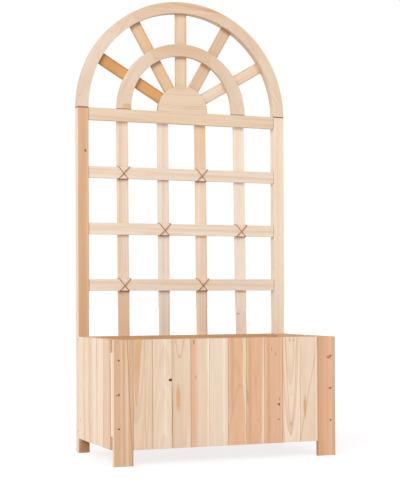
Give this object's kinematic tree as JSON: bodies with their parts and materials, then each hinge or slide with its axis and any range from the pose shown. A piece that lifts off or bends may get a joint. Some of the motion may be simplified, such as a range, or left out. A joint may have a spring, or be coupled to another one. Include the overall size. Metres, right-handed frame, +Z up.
{
  "type": "planter with trellis",
  "caption": "Free-standing wooden planter box on short legs, with a tall arched lattice trellis behind it for climbing plants.",
  "frame": {"origin": "on the ground, under the middle of the footprint", "axes": "+Z up, +X to the right seen from the front, +Y to the back, where the trellis stands"},
  "size_m": [0.64, 0.3483, 1.294],
  "materials": {
    "arch_wood": "plain planed softwood, matt",
    "dowel_wood": "plain hardwood pin, matt",
    "frame_wood": "plain planed softwood, matt",
    "front_board_wood": "plain planed softwood, matt",
    "inner_wood": "plain sawn softwood, matt",
    "leg_wood": "plain planed softwood, matt",
    "nail_steel": "bright steel",
    "rail_wood": "plain planed softwood, matt",
    "screw_steel": "dull zinc-plated steel",
    "side_board_wood": "plain planed softwood, matt",
    "slat_wood": "plain planed softwood, matt",
    "tie_wire": "dull brown coated wire"
  },
  "bodies": {
    "root": {"back_batten_bottom": "inner_wood", "back_batten_top": "inner_wood", "back_boards": "inner_wood", "corner_cleats": "inner_wood", "floor_boards": "inner_wood", "front_batten_bottom": "inner_wood", "front_batten_top": "inner_wood", "front_board_01": "front_board_wood", "front_board_02": "front_board_wood", "front_board_03": "front_board_wood", "front_board_04": "front_board_wood", "front_board_05": "front_board_wood", "front_board_06": "front_board_wood", "front_board_07": "front_board_wood", "front_board_08": "front_board_wood", "front_board_09": "front_board_wood", "front_board_10": "front_board_wood", "front_leg_left": "leg_wood", "front_leg_right": "leg_wood", "hub": "arch_wood", "inner_arch_left": "arch_wood", "inner_arch_right": "arch_wood", "inner_arch_top": "arch_wood", "large_dowels": "dowel_wood", "leg_screws": "screw_steel", "long_nails": "nail_steel", "outer_arch_left": "arch_wood", "outer_arch_right": "arch_wood", "outer_arch_top": "arch_wood", "post_left": "frame_wood", "post_right": "frame_wood", "post_screws": "screw_steel", "short_nails": "nail_steel", "side_battens_bottom": "inner_wood", "side_battens_top": "inner_wood", "side_board_left_1": "side_board_wood", "side_board_left_2": "side_board_wood", "side_board_left_3": "side_board_wood", "side_board_left_4": "side_board_wood", "side_board_left_5": "side_board_wood", "side_board_right_1": "side_board_wood", "side_board_right_2": "side_board_wood", "side_board_right_3": "side_board_wood", "side_board_right_4": "side_board_wood", "side_board_right_5": "side_board_wood", "small_dowels": "dowel_wood", "spoke_1": "slat_wood", "spoke_2": "slat_wood", "spoke_3": "slat_wood", "spoke_4": "slat_wood", "spoke_5": "slat_wood", "top_rail": "rail_wood", "trellis_lashings": "tie_wire", "trellis_rail_1": "rail_wood", "trellis_rail_2": "rail_wood", "trellis_rail_3": "rail_wood", "trellis_slat_1": "slat_wood", "trellis_slat_2": "slat_wood", "trellis_slat_3": "slat_wood", "trellis_slat_4": "slat_wood"}
  },
  "joints": []
}
